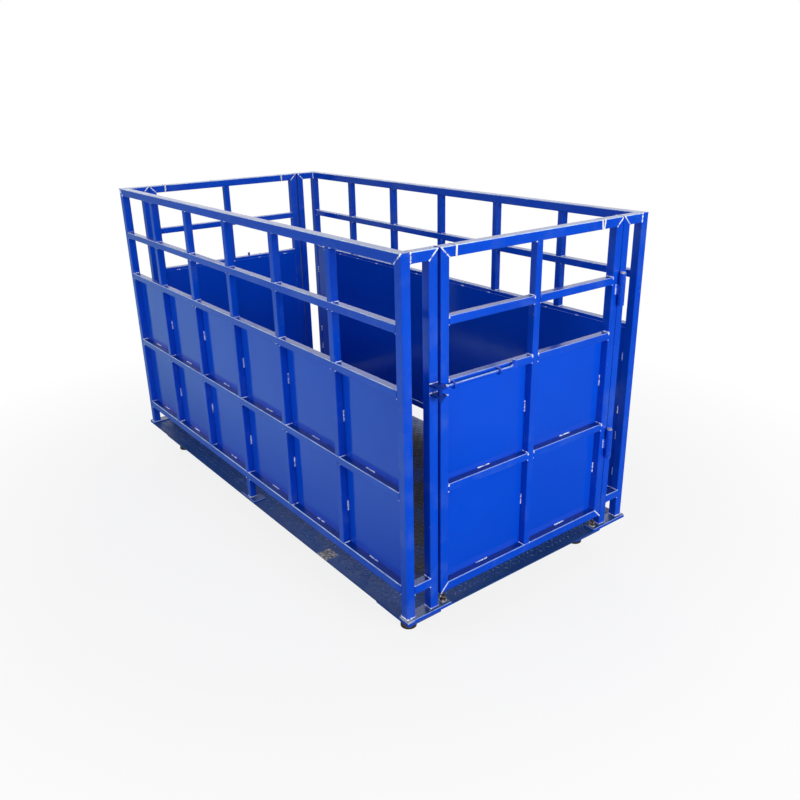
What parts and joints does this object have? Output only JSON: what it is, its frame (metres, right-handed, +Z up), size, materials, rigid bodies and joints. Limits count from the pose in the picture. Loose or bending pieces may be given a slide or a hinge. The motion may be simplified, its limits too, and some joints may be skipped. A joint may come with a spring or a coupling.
{
  "type": "livestock weighing crate",
  "caption": "Blue tube and sheet livestock crate with a hinged door and slide bolt at each end, standing on a chequer plate scale platform with load cells and levelling feet.",
  "frame": {"origin": "on the floor under the middle of the platform", "axes": "+X along the crate towards the front door, +Y towards the right side seen from the front, +Z up"},
  "size_m": [2.062, 1, 1.213],
  "materials": {
    "blue_enamel": "glossy blue enamel on steel tube",
    "sheet_enamel": "glossy blue enamel on thin sheet",
    "deck_enamel": "dark blue enamel worn on raised chequers",
    "zinc_steel": "dull zinc plate",
    "cell_steel": "nickel plated",
    "foot_iron": "black oxide",
    "black_rubber": "matt",
    "grey_plastic": "fine texture",
    "black_plastic": "smooth"
  },
  "bodies": {
    "crate": {"deck_plate": "deck_enamel", "platform_long_beams": "blue_enamel", "platform_cross_beams": "blue_enamel", "load_cell_housings": "blue_enamel", "load_cell_blocks": "blue_enamel", "load_cells": "cell_steel", "load_cell_bolts": "zinc_steel", "foot_screws": "zinc_steel", "foot_locknuts": "zinc_steel", "foot_pads": "foot_iron", "foot_soles": "black_rubber", "junction_box": "grey_plastic", "junction_box_lid": "grey_plastic", "junction_box_screws": "zinc_steel", "cable_glands": "black_plastic", "base_plates": "blue_enamel", "hold_down_bolts": "zinc_steel", "hold_down_washers": "zinc_steel", "hold_down_nuts": "zinc_steel", "mid_feet": "blue_enamel", "left_corner_posts": "blue_enamel", "left_top_rail": "blue_enamel", "left_rails": "blue_enamel", "left_bottom_rail": "blue_enamel", "left_uprights": "blue_enamel", "left_sheet": "sheet_enamel", "right_corner_posts": "blue_enamel", "right_top_rail": "blue_enamel", "right_rails": "blue_enamel", "right_bottom_rail": "blue_enamel", "right_uprights": "blue_enamel", "right_sheet": "sheet_enamel", "front_jambs": "blue_enamel", "front_stub_rails": "blue_enamel", "front_jamb_knuckles": "blue_enamel", "front_hinge_pins": "zinc_steel", "front_keeper_lugs": "blue_enamel", "front_keeper_bolt": "blue_enamel", "rear_jambs": "blue_enamel", "rear_stub_rails": "blue_enamel", "rear_jamb_knuckles": "blue_enamel", "rear_hinge_pins": "zinc_steel", "rear_keeper_lugs": "blue_enamel", "rear_keeper_bolt": "blue_enamel"},
    "front_door": {"front_door_stiles": "blue_enamel", "front_door_end_rails": "blue_enamel", "front_door_upright": "blue_enamel", "front_door_rails": "blue_enamel", "front_door_sheet": "sheet_enamel", "front_door_knuckles": "blue_enamel", "front_bolt_guides": "blue_enamel"},
    "front_bolt": {"front_slide_bolt": "blue_enamel"},
    "rear_door": {"rear_door_stiles": "blue_enamel", "rear_door_end_rails": "blue_enamel", "rear_door_upright": "blue_enamel", "rear_door_rails": "blue_enamel", "rear_door_sheet": "sheet_enamel", "rear_door_knuckles": "blue_enamel", "rear_bolt_guides": "blue_enamel"},
    "rear_bolt": {"rear_slide_bolt": "blue_enamel"}
  },
  "joints": [
    {"name": "front_door_hinge", "type": "hinge", "parent": "crate", "child": "front_door", "pos_m": [0.9995, 0.37275, 0.72], "axis": [0, 0, 1], "range_deg": [0, 170]},
    {"name": "front_bolt_slide", "type": "slide", "parent": "front_door", "child": "front_bolt", "axis": [0, -1, 0], "range_m": [0, 0.042]},
    {"name": "rear_door_hinge", "type": "hinge", "parent": "crate", "child": "rear_door", "pos_m": [-0.9995, -0.37275, 0.72], "axis": [0, 0, 1], "range_deg": [0, 170]},
    {"name": "rear_bolt_slide", "type": "slide", "parent": "rear_door", "child": "rear_bolt", "axis": [0, 1, 0], "range_m": [0, 0.042]}
  ]
}
